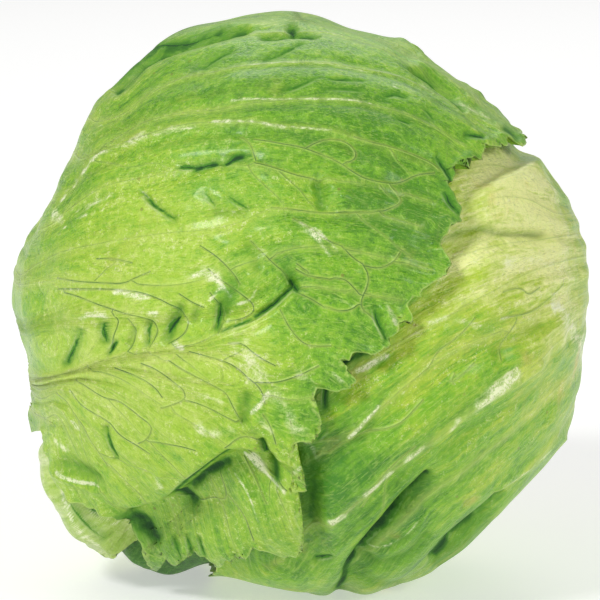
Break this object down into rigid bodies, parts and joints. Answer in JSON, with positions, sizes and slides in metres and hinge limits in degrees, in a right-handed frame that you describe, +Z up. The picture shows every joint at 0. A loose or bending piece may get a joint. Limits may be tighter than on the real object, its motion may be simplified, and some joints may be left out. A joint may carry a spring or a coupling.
{
  "type": "iceberg lettuce",
  "caption": "Whole round head of iceberg lettuce lying on its side, with large overlapping wrapper leaves, ragged leaf edges, a dense heart and a cut stem behind.",
  "frame": {"origin": "on the surface it lies on, under the middle of its bounding box", "axes": "+Z up; +Y along the stem, out of its cut end; +X to the right as the crown is seen"},
  "size_m": [0.1585, 0.1546, 0.1573],
  "materials": {
    "wrapper_leaf_green": "living leaf, waxy, mid green with pale ribs and thin dark veins",
    "wrapper_leaf_pale": "living leaf, waxy, pale yellowish at the top to mid green below",
    "inner_leaf_pale": "living leaf, pale with white streaks along its ribs",
    "shaded_leaf_dark": "living leaf, dark green",
    "inner_leaf_green": "living leaf, light green with pale ribs",
    "heart_pale": "tightly folded inner leaves, pale yellow-green",
    "stem_cream": "cut stem, cream with a browned cut face"
  },
  "bodies": {
    "root": {"wrapper_leaf_left": "wrapper_leaf_green", "wrapper_leaf_right": "wrapper_leaf_pale", "wrapper_leaf_lower_left": "inner_leaf_pale", "bottom_leaf": "shaded_leaf_dark", "top_leaf": "inner_leaf_green", "heart": "heart_pale", "core_stem": "stem_cream"}
  },
  "joints": []
}
